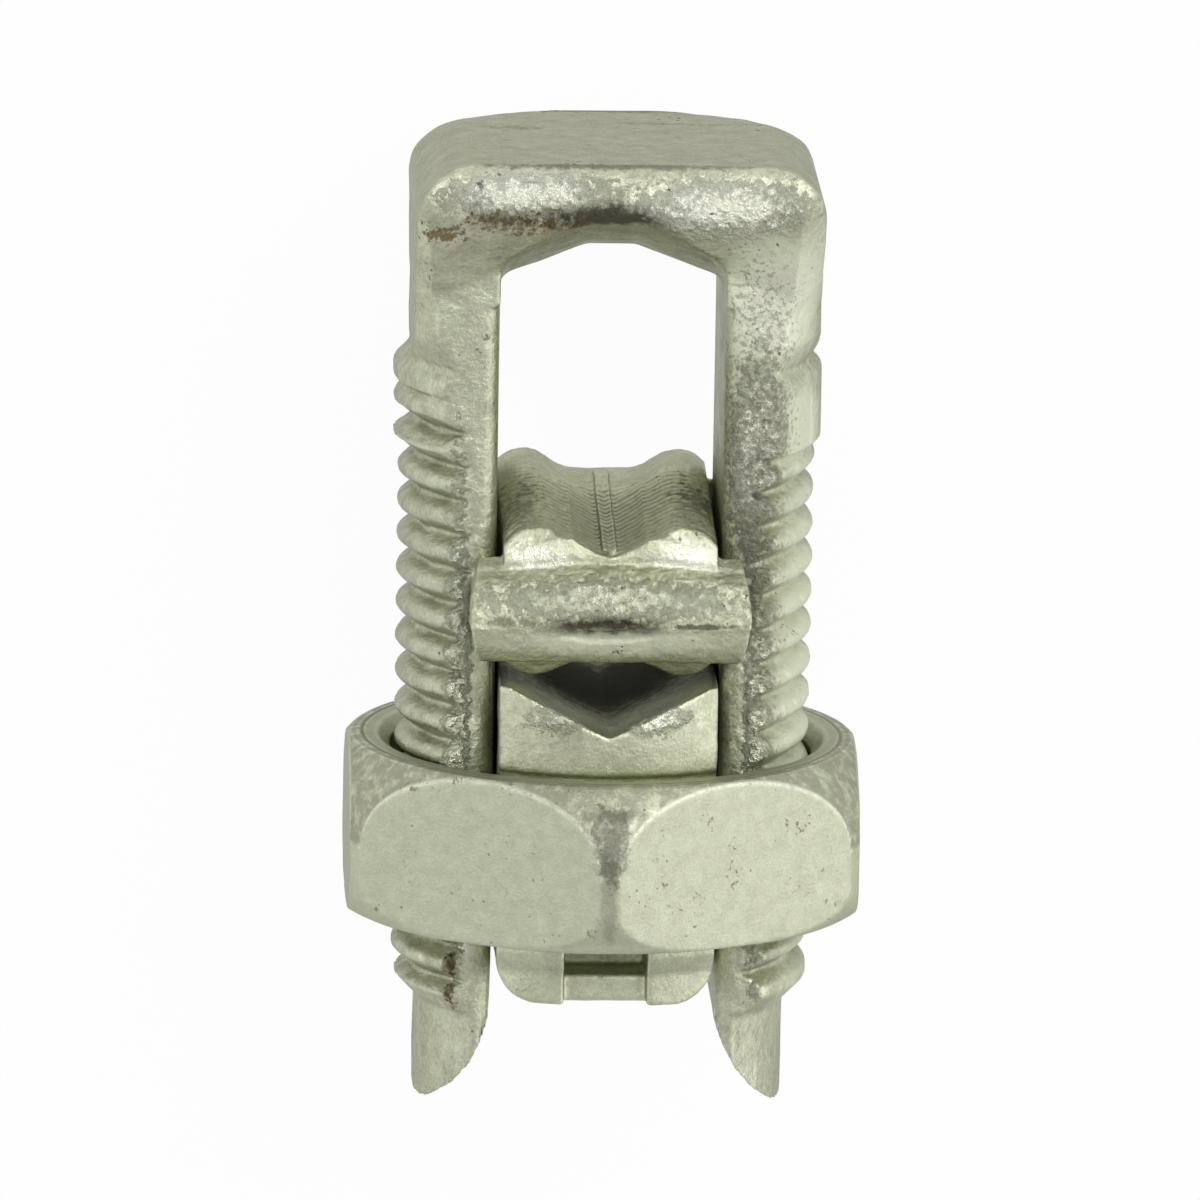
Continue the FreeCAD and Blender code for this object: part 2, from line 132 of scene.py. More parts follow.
def even_skin(obj, voxel, relaxing, most_triangles):
    """Remesh with voxels, relax the skin and thin it to a number of triangles."""
    remesh = obj.modifiers.new("skin", "REMESH")
    remesh.mode = "VOXEL"
    remesh.voxel_size = voxel
    bake_modifiers(obj)
    bm = bmesh.new()
    bm.from_mesh(obj.data)
    for _ in range(relaxing):
        relax_once(bm, bm.verts)
    bm.to_mesh(obj.data)
    bm.free()
    triangles = sum(len(polygon.vertices) - 2 for polygon in obj.data.polygons)
    if triangles > most_triangles:
        thin = obj.modifiers.new("thin", "DECIMATE")
        thin.ratio = most_triangles / triangles
        bake_modifiers(obj)
    print(obj.name, "skin of", triangles, "triangles, kept", len(obj.data.polygons), "faces")
    return obj


def relax_below(obj, height, rounds):
    """Relax only the skin below a height, where thin edges need more rounding."""
    bm = bmesh.new()
    bm.from_mesh(obj.data)
    for _ in range(rounds):
        relax_once(bm, [vert for vert in bm.verts if vert.co.z < height])
    bm.to_mesh(obj.data)
    bm.free()


def push_skin(obj, amount):
    """Move each point along its normal by amount(point), in millimetres."""
    bm = bmesh.new()
    bm.from_mesh(obj.data)
    bm.normal_update()
    for vert in bm.verts:
        vert.co += vert.normal * amount(vert.co)
    bm.to_mesh(obj.data)
    bm.free()


# %% Helper: a finished piece goes to its place
def to_floor(obj, body, node, material):
    """Take a finished piece from the bench to its place on its body."""
    obj.data.transform(TO_FLOOR)
    obj.data.shade_smooth()
    obj.data.materials.clear()
    obj.data.materials.append(material)
    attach(obj, body)
    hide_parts(node)
    low = [min(vert.co[i] for vert in obj.data.vertices) * 1000 for i in range(3)]
    high = [max(vert.co[i] for vert in obj.data.vertices) * 1000 for i in range(3)]
    print(obj.name, "box", [round(h - l, 2) for l, h in zip(low, high)], "mm")
    return obj


# %% [markdown]
# ## Turned tools
#
# Several pieces have a surface that a lathe or a round die gave them. Moving points by a formula
# would blur where such a surface ends. A closed solid that is turned from its section and then
# intersected with the piece, or cut from it, leaves the crisp line that the real tool leaves.

# %% Helper: a turned tool
def turned_tool(name, section, steps=192):
    """A closed solid turned from radius and height pairs, which start and end on the axis."""
    bm = bmesh.new()
    chain = [bm.verts.new((radius, 0, height)) for radius, height in section]
    edges = [bm.edges.new(pair) for pair in zip(chain, chain[1:])]
    bmesh.ops.spin(bm, geom=chain + edges, cent=(0, 0, 0), axis=(0, 0, 1), angle=2 * math.pi,
                   dvec=(0, 0, 0), steps=steps, use_merge=True)
    bmesh.ops.remove_doubles(bm, verts=bm.verts, dist=0.0005)
    bmesh.ops.recalc_face_normals(bm, faces=bm.faces)
    return bench_object(name, bm)


# %% [markdown]
# ## The thread cutter
#
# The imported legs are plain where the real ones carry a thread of 16 turns an inch, because a thread
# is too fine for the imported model. A modifier or an add-on could make the screw, but the legs are
# not whole cylinders. So the groove itself is made as a tool: its section is spun round the axis,
# and each step also lifts it by a share of the pitch. Cutting the legs with it gives the crests,
# the valleys and the zigzag where the thread runs out on the flat faces, all at once.
#
# Near the head the real thread fades, higher up on the left leg than on the right one. There the
# cutter is drawn outwards until it no longer reaches the metal.

# %% Make the thread cutter
thread_pitch = 1.5875
steps_a_turn = 72
groove_section = [(0.0, 8.52), (0.16, 8.9), (0.37, 9.27), (0.55, 9.46), (0.68, 9.56), (0.7, 10.9)]
first_groove = 0.52 + 3 * thread_pitch
groove_turns = 19
right_fade = {"from": 30.3, "over": 0.6, "lift": 1.7}
left_fade = {"from": 32.2, "over": 1.6, "lift": 1.25}


def fade_lift(fade, height):
    """How far one leg's fade draws the cutter outwards at a height."""
    return fade["lift"] * min(max((height - fade["from"]) / fade["over"], 0), 1)


def groove_lift(co):
    """The fade at a point of the cutter, which goes over from one leg's to the other's."""
    right_share = 0.5 + 0.5 * co.x / Vector((co.x, co.y)).length
    return fade_lift(right_fade, co.z) * right_share + fade_lift(left_fade, co.z) * (1 - right_share)


def thread_cutter():
    """A closed screw-shaped solid, as wide as the groove and open to the outside."""
    bm = bmesh.new()
    lower = [bm.verts.new((radius, 0, first_groove - rise)) for rise, radius in reversed(groove_section)]
    upper = [bm.verts.new((radius, 0, first_groove + rise)) for rise, radius in groove_section[1:]]
    ring = lower + upper
    edges = [bm.edges.new(pair) for pair in zip(ring, ring[1:] + ring[:1])]
    bmesh.ops.spin(bm, geom=ring + edges, cent=(0, 0, 0), axis=(0, 0, 1), angle=2 * math.pi * groove_turns,
                   dvec=(0, 0, thread_pitch / steps_a_turn), steps=steps_a_turn * groove_turns)
    bmesh.ops.holes_fill(bm, edges=[edge for edge in bm.edges if edge.is_boundary], sides=0)
    for vert in bm.verts:
        out = Vector((vert.co.x, vert.co.y, 0)).normalized()
        vert.co += out * groove_lift(vert.co)
    bmesh.ops.recalc_face_normals(bm, faces=bm.faces)
    return bench_object("thread_cutter", bm)


cutter = thread_cutter()
print("thread cutter faces:", len(cutter.data.polygons))

# %% [markdown]
# ## The split bolt
#
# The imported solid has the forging's shape, but the real head's back corners are rounder. They are
# cut with a turned tool, whose axis stands a little in front of the bolt's own, so that it only
# reaches the back. Then come the thread and the skin. The leg tips get more rounding than the rest.
#
# Forged faces are never quite flat, so low, wide noise pushes the skin in and out by a few
# hundredths of a millimetre. Where the thread runs out on the flat faces it is ragged on the real
# piece, and a finer noise is added along those two lines of each leg.

# %% Make the split bolt
head_section = [(0, -2), (13.4, -2), (13.4, 40.2), (12.5, 42.0), (11.5, 43.1), (10.4, 43.9), (9.4, 44.33),
                (0, 44.33)]
head_axis_place = (0, -2.2, 0)
tip_height = 4.8
skin_sink = 0.03
thread_low = 5.5
thread_high = 31.5
thread_end_u = 6.7
thread_end_v = 6.0


def bolt_unevenness(co):
    """How far the bolt's skin is pushed at a point."""
    wide = noise.noise(co * 0.35) * 0.05 + noise.noise(co * 1.1) * 0.03 - skin_sink
    if not thread_low < co.z < thread_high:
        return wide
    near_end = max(0, 1 - abs(abs(co.x) - thread_end_u) / 1.1)
    near_end *= max(0, 1 - abs(abs(co.y) - thread_end_v) / 0.7)
    ragged = noise.noise(co * 3.0 + Vector((7, 3, 1))) * 0.14 + noise.noise(co * 6.0) * 0.1
    return wide + ragged * near_end


split_bolt = bench_object("bolt_forging", packed_copy("split_bolt"))
head_envelope = turned_tool("head_envelope", head_section)
head_envelope.data.transform(Matrix.Translation(head_axis_place))
combine(split_bolt, head_envelope, "INTERSECT")
combine(split_bolt, cutter, "DIFFERENCE")
even_skin(split_bolt, voxel=0.12, relaxing=2, most_triangles=196000)
relax_below(split_bolt, tip_height, rounds=4)
push_skin(split_bolt, bolt_unevenness)

# %% [markdown]
# ## The nut
#
# A nut is cut from hexagon bar and its corners are turned to a curve on a lathe, so it is the
# crispest piece here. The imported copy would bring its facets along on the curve, and a new one is
# quickly made: a six-sided cylinder, whose upright edges are blunted by a bevel, is intersected
# with one turned tool and bored with another. The skin then breaks all edges a little.

# %% Make the nut
flat_distance = 11.63
corner_bevel = 0.22
base_curve = (2.3, (10.88, 11.0))
base_span = (-69, 0)
crown = (5.3, (7.88, 12.71))
crown_span = (0, 47)
bearing_radius = 11.47
bore_radius = 9.62
bore_mouth_radius = 11.35
bore_mouth_height = 0.55


def hexagon():
    bm = bmesh.new()
    sharp_radius = flat_distance / math.cos(math.radians(30))
    bmesh.ops.create_cone(bm, cap_ends=True, cap_tris=False, segments=6, radius1=sharp_radius,
                          radius2=sharp_radius, depth=nut_high - nut_low,
                          matrix=Matrix.Translation((0, 0, nut_middle)))
    upright = [edge for edge in bm.edges if abs(edge.verts[0].co.z - edge.verts[1].co.z) > 1]
    bmesh.ops.bevel(bm, geom=upright, offset=corner_bevel, offset_type="OFFSET", affect="EDGES",
                    segments=2, profile=0.5, material=-1)
    return bench_object("nut_hexagon", bm)


def curved_corner(radius, centre, start, end, steps=12):
    """Section points along an arc, with the angles in degrees from level."""
    turns = [math.radians(start + (end - start) * step / steps) for step in range(steps + 1)]
    return [(centre[0] + radius * math.cos(turn), centre[1] + radius * math.sin(turn)) for turn in turns]


nut = hexagon()
barrel_section = [(0, nut_low)] + curved_corner(*base_curve, *base_span)
barrel_section += curved_corner(*crown, *crown_span) + [(bearing_radius, nut_high), (0, nut_high)]
combine(nut, turned_tool("nut_barrel", barrel_section), "INTERSECT")
bore_section = [
    (0, nut_low - 1), (bore_mouth_radius, nut_low - 1), (bore_radius, nut_low + bore_mouth_height),
    (bore_radius, nut_high - bore_mouth_height), (bore_mouth_radius, nut_high + 1), (0, nut_high + 1)]
combine(nut, turned_tool("nut_bore", bore_section), "DIFFERENCE")
even_skin(nut, voxel=0.125, relaxing=1, most_triangles=190000)
push_skin(nut, lambda co: noise.noise(co * 0.5) * 0.015 - 0.015)

# %% [markdown]
# ## The burr along the nut's crown
#
# Where the lathe's curve meets a flat, the real nut has a thin burr that wear has rubbed bright,
# and its bright line is also a painted highlight.
# An edge mask of the shader could find that line, but it would also find every other edge. The line
# follows from the hexagon and the curve, so each point's distance to it is worked out here. It is
# stored in an attribute for the material, and lifts the skin a little. A second attribute marks the
# turned metal above the line.

# %% Raise the burr and mark it for rubbed tin and a painted highlight
burr_width = 0.105
burr_rise = 0.0175
turned_fade = 0.15
outer_from = 11
sixth_turn = math.radians(60)


def mark_crown(obj):
    """Mark the lathe-cut crown, and raise the burr where it meets each flat and mark it for
    rubbed tin with a painted highlight.
    """
    crown_radius, (centre_out, centre_high) = crown
    burr_and_highlight = obj.data.attributes.new("burr_and_highlight", "FLOAT", "POINT")
    turned = obj.data.attributes.new("turned", "FLOAT", "POINT")
    marked = 0
    for index, vert in enumerate(obj.data.vertices):
        out = math.hypot(vert.co.x, vert.co.y)
        if vert.co.z < centre_high - 1 or out < outer_from:
            continue
        turn = (math.atan2(vert.co.y, vert.co.x) + sixth_turn / 2) % sixth_turn - sixth_turn / 2
        flat_out = flat_distance / math.cos(turn)
        reach = max(crown_radius ** 2 - (flat_out - centre_out) ** 2, 0)
        edge_high = centre_high + math.sqrt(reach)
        away = math.hypot(out - flat_out, vert.co.z - edge_high)
        burr_and_highlight.data[index].value = math.exp(-(away / burr_width) ** 2)
        turned.data[index].value = min(max((vert.co.z - edge_high) / turned_fade, 0), 1)
        vert.co.z += burr_rise * burr_and_highlight.data[index].value * (0.6 + noise.noise(vert.co * 2.0))
        marked += 1
    obj.data.update()
    print("crown marks on", marked, "points")


mark_crown(nut)

# %% [markdown]
# ## The pressure bar
#
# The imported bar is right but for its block, which is a little thinner from front to back on the
# real piece. A turned tool cuts the block to that radius and is wider around the stem, so the stem
# stays as it is. Then the bar gets its skin.

# %% Make the pressure bar
block_radius = 9.6
past_stem_radius = 9.99
bar_section = [(0, 4), (past_stem_radius, 4), (past_stem_radius, nut_high - 0.01),
               (block_radius, nut_high + 0.02), (block_radius, 22), (0, 22)]

bar = bench_object("bar_block", packed_copy("pressure_bar"))
combine(bar, turned_tool("bar_envelope", bar_section), "INTERSECT")
even_skin(bar, voxel=0.11, relaxing=2, most_triangles=190000)
push_skin(bar, lambda co: noise.noise(co * 0.6) * 0.03 + noise.noise(co * 2.0) * 0.015)

# %% [markdown]
# ## The spacer bar
#
# The spacer is a small forging, tipped in its clearance, so its details are placed in its own
# frame. On the real piece the flat valley between the two upper ridges narrows to a V towards the
# front, and the top of the front flange arches up a little in its middle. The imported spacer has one
# section all along. Rebuilding it from sections would lose its flanges, so the skin's points are
# moved instead, by the difference between the two sections, and smooth steps keep the move away
# from the rest.

# %% Make the spacer bar
spacer_pitch = math.radians(5)
spacer_middle = 24.1


def spacer_frame(co):
    """A bench point in the spacer's own frame, before it tipped in its clearance."""
    rise = co.z - spacer_middle
    return Vector((co.x, co.y * math.cos(spacer_pitch) + rise * math.sin(spacer_pitch),
                   rise * math.cos(spacer_pitch) - co.y * math.sin(spacer_pitch)))


def eased(value, low, high):
    """0 below low and 1 above high, with a smooth step between."""
    share = min(max((value - low) / (high - low), 0), 1)
    return share * share * (3 - 2 * share)


def narrow_valley(obj):
    """Turn the upper valley's flat into a V towards the front, and arch the front flange's top."""
    ridge_place = 3.6
    packed_foot, packed_flat, packed_slope = 2.85, 1.7, 0.82
    narrow_foot, narrow_slope = 2.45, 0.58
    arch_rise, arch_half_width = 0.4, 5.4
    upper_side, back_flange = 1.2, 8
    bm = bmesh.new()
    bm.from_mesh(obj.data)
    for vert in bm.verts:
        own = spacer_frame(vert.co)
        if own.z < upper_side or own.y > back_flange:
            continue
        out = min(abs(own.x), ridge_place)
        packed_top = packed_foot + max(out - packed_flat, 0) * packed_slope
        narrow_top = narrow_foot + out * narrow_slope
        share = (1 - eased(own.y, 2.0, 5.9)) * eased(own.z, 1.5, 2.4) * eased(own.y, -7.7, -7.2)
        arch = arch_rise * max(1 - (own.x / arch_half_width) ** 2, 0)
        arch *= eased(own.y, -9.2, -7.8) * (1 - eased(own.y, -7.5, -6.9))
        vert.co.z += (narrow_top - packed_top) * share + arch * eased(own.z, upper_side, 1.9)
    bm.to_mesh(obj.data)
    bm.free()


spacer = bench_object("spacer_forging", packed_copy("spacer_bar"))
even_skin(spacer, voxel=0.1, relaxing=2, most_triangles=195000)
narrow_valley(spacer)

# %% [markdown]
# ## Serrations and a rough flange
#
# Fine serrations run across the upper saddle and bite into the conductor. They repeat evenly, so a
# wave in the skin makes them, with a hump for each tooth and a narrow groove between. The front
# flange is coarse from the die, down to a ragged ledge, and has an old scar below it. Both are real
# relief in the mesh.

# %% Serrate the saddle and roughen the flange
serration_pitch = 0.61
serration_depth = 0.13
serrated_from, serrated_to = -6.3, 4.6
serrated_half_width = 4.7
rib_half_width = 0.4
front_flange = -7.6
ledge_blend = 0.12
scar_depth = 0.14
scar_half_length, scar_half_height = 2.5, 0.36


def serration(co):
    """How far a point of the upper saddle is pushed by the serrations."""
    own = spacer_frame(co)
    if own.z < 1.6 or not serrated_from < own.y < serrated_to or abs(own.x) > serrated_half_width:
        return 0
    fade_ends = min((own.y - serrated_from) / 0.3, (serrated_to - own.y) / 2.2)
    fade = min(fade_ends, (abs(own.x) - rib_half_width) / 0.2, 1)
    wave = abs(math.sin(math.pi * own.y / serration_pitch))
    return serration_depth * (wave - 0.85) * max(fade, 0)


def flange_roughness(co):
    """The upper half of the front flange is rough and a little proud, down to a ledge with a scar."""
    own = spacer_frame(co)
    if own.y > front_flange:
        return 0
    ledge = -0.05 + 0.12 * noise.noise(Vector((own.x * 0.5, 0, 3)))
    upper = eased(own.z, ledge - ledge_blend, ledge + ledge_blend)
    rough = noise.noise(co * 2.6) * 0.05 + noise.noise(co * 5.5) * 0.035
    away = math.hypot((own.x + 0.2) / scar_half_length, (own.z - ledge + 0.25) / scar_half_height)
    return upper * (0.03 + rough) - scar_depth * (1 - eased(away, 0.6, 1.0))


def spacer_unevenness(co):
    """How far the spacer's skin is pushed at a point."""
    return serration(co) + flange_roughness(co) + noise.noise(co * 0.8) * 0.04 + noise.noise(co * 2.4) * 0.02


push_skin(spacer, spacer_unevenness)
print("serrations:", round((serrated_to - serrated_from) / serration_pitch))

# %% [markdown]
# ## Tin plating
#
# Tin on a forging is a warm, greenish grey and satin. It is mottled where the bare forging was
# rough, it holds dark grime in its pits, and it is brighter where edges have been rubbed, which
# is partly a painted highlight; inner corners get painted shade. These effects are on every piece,
# so each is a node group with its own scales and amounts. A Mapping node turns the object's
# coordinates into bench millimetres, so a scale of 2 is two grains to the millimetre, and a stain
# can be placed by its measured spot on the piece.

# %% Helpers for shader node groups
def new_group(name, inputs, outputs):
    """A shader node group. An input's value is a number or a vector, and outputs are numbers."""
    group = bpy.data.node_groups.new(name, "ShaderNodeTree")
    place = group.interface.new_socket("Vector", in_out="INPUT", socket_type="NodeSocketVector")
    place.hide_value = True
    for label, value in inputs:
        kind = "NodeSocketVector" if isinstance(value, tuple) else "NodeSocketFloat"
        group.interface.new_socket(label, in_out="INPUT", socket_type=kind).default_value = value
    for label in outputs:
        group.interface.new_socket(label, in_out="OUTPUT", socket_type="NodeSocketFloat")
    return group, group.nodes.new("NodeGroupInput").outputs, group.nodes.new("NodeGroupOutput").inputs


def feed(tree, socket, value):
    """Link an output to a socket, or set the socket to a plain value."""
    if hasattr(value, "is_output"):
        tree.links.new(value, socket)
    else:
        socket.default_value = value


def add_node(tree, kind, values=None, **settings):
    """A node with its settings made and its inputs fed."""
    node = tree.nodes.new(kind)
    for name, value in settings.items():
        setattr(node, name, value)
    for name, value in (values or {}).items():
        feed(tree, node.inputs[name], value)
    return node


def math_node(tree, operation, first, second=0.0):
    node = add_node(tree, "ShaderNodeMath", operation=operation)
    feed(tree, node.inputs[0], first)
    feed(tree, node.inputs[1], second)
    return node.outputs[0]


def vector_node(tree, operation, *operands):
    """A vector operation. A length and a dot product put out a value, and the others a vector."""
    node = add_node(tree, "ShaderNodeVectorMath", dict(enumerate(operands)), operation=operation)
    return node.outputs["Value" if operation in ("LENGTH", "DOT_PRODUCT") else "Vector"]


def blend_of(tree, pairs):
    """A weighted sum of outputs, given as pairs of an output and its weight."""
    total = math_node(tree, "MULTIPLY", *pairs[0])
    for value, weight in pairs[1:]:
        total = math_node(tree, "ADD", total, math_node(tree, "MULTIPLY", value, weight))
    return total


def range_node(tree, value, low, high, to_low=0.0, to_high=1.0):
    """A smooth step from one value to another."""
    values = {"Value": value, "From Min": low, "From Max": high, "To Min": to_low, "To Max": to_high}
    return add_node(tree, "ShaderNodeMapRange", values, interpolation_type="SMOOTHSTEP").outputs["Result"]


def noise_node(tree, vector, scale, detail=3.0, roughness=0.55):
    values = {"Vector": vector, "Scale": scale, "Detail": detail, "Roughness": roughness}
    return add_node(tree, "ShaderNodeTexNoise", values).outputs["Fac"]


# %% Group: mottled tin, with grains that catch the light
def make_mottle_group():
    inputs = [("Cloud Scale", 0.6), ("Lump Scale", 1.8), ("Grain Scale", 6.0), ("Lump Share", 0.6)]
    group, given, result = new_group("tin_mottle", inputs, ["Cloud", "Speck", "Height"])
    cloud = noise_node(group, given["Vector"], given["Cloud Scale"], 4.0, 0.6)
    lump = noise_node(group, given["Vector"], given["Lump Scale"], 3.0, 0.5)
    grain = noise_node(group, given["Vector"], given["Grain Scale"], 4.0, 0.75)
    feed(group, result["Cloud"], range_node(group, cloud, 0.3, 0.7))
    feed(group, result["Speck"], range_node(group, grain, 0.32, 0.68))
    grain_share = math_node(group, "SUBTRACT", 1.0, given["Lump Share"])
    feed(group, result["Height"], blend_of(group, [(lump, given["Lump Share"]), (grain, grain_share)]))
    return group


# %% Group: small pits with grime
def make_pit_group():
    inputs = [("Pit Scale", 3.5), ("Patch Scale", 0.5), ("Amount", 0.5)]
    group, given, result = new_group("grimy_pits", inputs, ["Pit"])
    patch = noise_node(group, given["Vector"], given["Patch Scale"], 3.0, 0.6)
    fine = noise_node(group, given["Vector"], given["Pit Scale"], 4.0, 0.7)
    both = blend_of(group, [(patch, 0.4), (fine, 0.6)])
    edge = math_node(group, "SUBTRACT", 0.72, math_node(group, "MULTIPLY", given["Amount"], 0.2))
    feed(group, result["Pit"], range_node(group, both, edge, math_node(group, "ADD", edge, 0.05)))
    return group


# %% Group: rubbed edges with a painted highlight, and painted shade in filled corners
def make_edge_wear_and_shade_group():
    group, given, result = new_group("rubbed_edges_and_corner_shade", [("Breakup Scale", 2.5)], ["Edge", "Corner Shade"])
    breakup = noise_node(group, given["Vector"], given["Breakup Scale"], 4.0, 0.7)
    share = range_node(group, breakup, 0.25, 0.6)
    point = add_node(group, "ShaderNodeNewGeometry").outputs["Pointiness"]
    # The Edge mask lightens convex edges: partly rubbed tin, partly a painted highlight.
    feed(group, result["Edge"], math_node(group, "MULTIPLY", range_node(group, point, 0.51, 0.6), share))
    # The Corner mask darkens concave corners with painted shade.
    feed(group, result["Corner Shade"], math_node(group, "MULTIPLY", range_node(group, point, 0.48, 0.4), share))
    return group


# %% Group: one stain, worn spot or rough patch with a broken outline
def make_patch_group():
    inputs = [("Centre", (0.0, 0.0, 0.0)), ("Radii", (1.0, 1.0, 1.0)),
              ("Breakup Scale", 2.2), ("Breakup", 1.0)]
    group, given, result = new_group("broken_patch", inputs, ["Mask"])
    away = vector_node(group, "SUBTRACT", given["Vector"], given["Centre"])
    reach = vector_node(group, "LENGTH", vector_node(group, "DIVIDE", away, given["Radii"]))
    breakup = noise_node(group, given["Vector"], given["Breakup Scale"], 5.0, 0.7)
    wobble = math_node(group, "MULTIPLY", math_node(group, "SUBTRACT", breakup, 0.5), given["Breakup"])
    ragged = math_node(group, "ADD", reach, math_node(group, "MULTIPLY", wobble, 3.0))
    feed(group, result["Mask"], range_node(group, ragged, 1.0, 0.45))
    return group


# %% Group: a band turned round the axis
def make_ring_group():
    inputs = [("Radius", 10.0), ("Half Width", 0.1), ("Lowest", 0.0)]
    group, given, result = new_group("turned_band", inputs, ["Mask"])
    radius = vector_node(group, "LENGTH", vector_node(group, "MULTIPLY", given["Vector"], (1, 1, 0)))
    off = math_node(group, "ABSOLUTE", math_node(group, "SUBTRACT", radius, given["Radius"]))
    inner_width = math_node(group, "MULTIPLY", given["Half Width"], 0.3)
    band = range_node(group, off, given["Half Width"], inner_width)
    height = add_node(group, "ShaderNodeSeparateXYZ", {0: given["Vector"]}).outputs["Z"]
    above = math_node(group, "GREATER_THAN", height, given["Lowest"])
    feed(group, result["Mask"], math_node(group, "MULTIPLY", band, above))
    return group


# %% Group: even stripes across a direction, as in serrations
def make_stripe_group():
    inputs = [("Direction", (0.0, 1.0, 0.0)), ("Offset", 0.0), ("Pitch", 1.0)]
    group, given, result = new_group("even_stripes", inputs, ["Mask"])
    along = vector_node(group, "DOT_PRODUCT", given["Vector"], given["Direction"])
    turns = math_node(group, "DIVIDE", math_node(group, "SUBTRACT", along, given["Offset"]), given["Pitch"])
    sine = math_node(group, "SINE", math_node(group, "MULTIPLY", turns, math.pi))
    feed(group, result["Mask"], range_node(group, math_node(group, "ABSOLUTE", sine), 0.75, 0.2))
    return group


# %% Make the groups
MOTTLE = make_mottle_group()
PITS = make_pit_group()
EDGES = make_edge_wear_and_shade_group()
PATCH = make_patch_group()
RING = make_ring_group()
STRIPES = make_stripe_group()
print("node groups:", [group.name for group in bpy.data.node_groups])


# %% [markdown]
# ## Marks on the plating
#
# Handling and weather leave grime, rust, rubbed metal, milky tin and dull tin. Some marks stand in
# for light instead: painted shade in recesses and gaps, and painted highlights. A painted picture
# could hold all that, but it would need a layout of each piece's surface. Each mark is a layer here:
# its kind, a mask, and how strong it is. A kind has a colour, a roughness and a share of bare metal,
# and the layers go over the tin one after the other, as the real ones did.

# %% Helpers: mixes, groups and bench coordinates in a material
def mix_colour(tree, factor, first, second):
    node = add_node(tree, "ShaderNodeMix", data_type="RGBA")
    feed(tree, node.inputs[0], factor)
    for index, value in ((6, first), (7, second)):
        feed(tree, node.inputs[index], value if hasattr(value, "is_output") else (*value, 1))
    return node.outputs[2]


def mix_value(tree, factor, first, second):
    node = add_node(tree, "ShaderNodeMix", data_type="FLOAT")
    for index, value in ((0, factor), (2, first), (3, second)):
        feed(tree, node.inputs[index], value)
    return node.outputs[0]


def group_node(tree, group, vector, values):
    node = tree.nodes.new("ShaderNodeGroup")
    node.node_tree = group
    for name, value in {"Vector": vector, **values}.items():
        feed(tree, node.inputs[name], value)
    return node


def bench_vector(tree):
    """The object's own coordinates in bench millimetres."""
    place = add_node(tree, "ShaderNodeTexCoord").outputs["Object"]
    values = {"Vector": place, "Location": TO_BENCH.to_translation(),
              "Rotation": TO_BENCH.to_quaternion().to_euler(), "Scale": (1000, 1000, 1000)}
    return add_node(tree, "ShaderNodeMapping", values).outputs["Vector"]


# %% Helpers: layers for marks and for coarse zones
# The grime kind also gives painted shade, and the worn and milky kinds also give painted highlights, at the
# marks that say so.
MARKS = {
    "grime": ((0.042, 0.037, 0.02), 0.8, 0.1),
    "rust": ((0.125, 0.08, 0.016), 0.85, 0.0),
    "worn": ((0.86, 0.875, 0.73), 0.22, 1.0),
    "milky_and_highlight": ((0.68, 0.705, 0.535), 0.5, 0.2),
    "dull": ((0.29, 0.29, 0.22), 0.55, 1.0),
}
fine_kinds = ("rust", "dull")
fine_breakup = 3.6


def mark_layers(tree, place, marks):
    """A mark is its kind, its centre and radii on the bench, how strong it is and how broken."""
    layers = []
    for kind, centre, radii, strength, breakup in marks:
        values = {"Centre": centre, "Radii": radii, "Breakup": breakup}
        if kind in fine_kinds:
            values["Breakup Scale"] = fine_breakup
        layers.append((kind, group_node(tree, PATCH, place, values).outputs["Mask"], strength))
    return layers


def coarse_layers(tree, place, zones):
    """The lumps' height in the coarse zones, with their bright grains and dark pits as layers."""
    zone = 0.0
    for centre, radii in zones:
        mask = group_node(tree, PATCH, place, {"Centre": centre, "Radii": radii, "Breakup": 0.6})
        zone = math_node(tree, "MAXIMUM", zone, mask.outputs["Mask"])
    coarse = noise_node(tree, place, 2.6, 4.0, 0.62)
    grains = math_node(tree, "MULTIPLY", range_node(tree, coarse, 0.44, 0.56), zone)
    pits = math_node(tree, "MULTIPLY", range_node(tree, coarse, 0.4, 0.32), zone)
    return math_node(tree, "MULTIPLY", coarse, zone), [("worn", grains, 0.85), ("grime", pits, 0.6)]


# %% Helper: one tin material
rubbed_tin_and_sheen = (0.84, 0.865, 0.66)
rubbed_roughness = 0.24


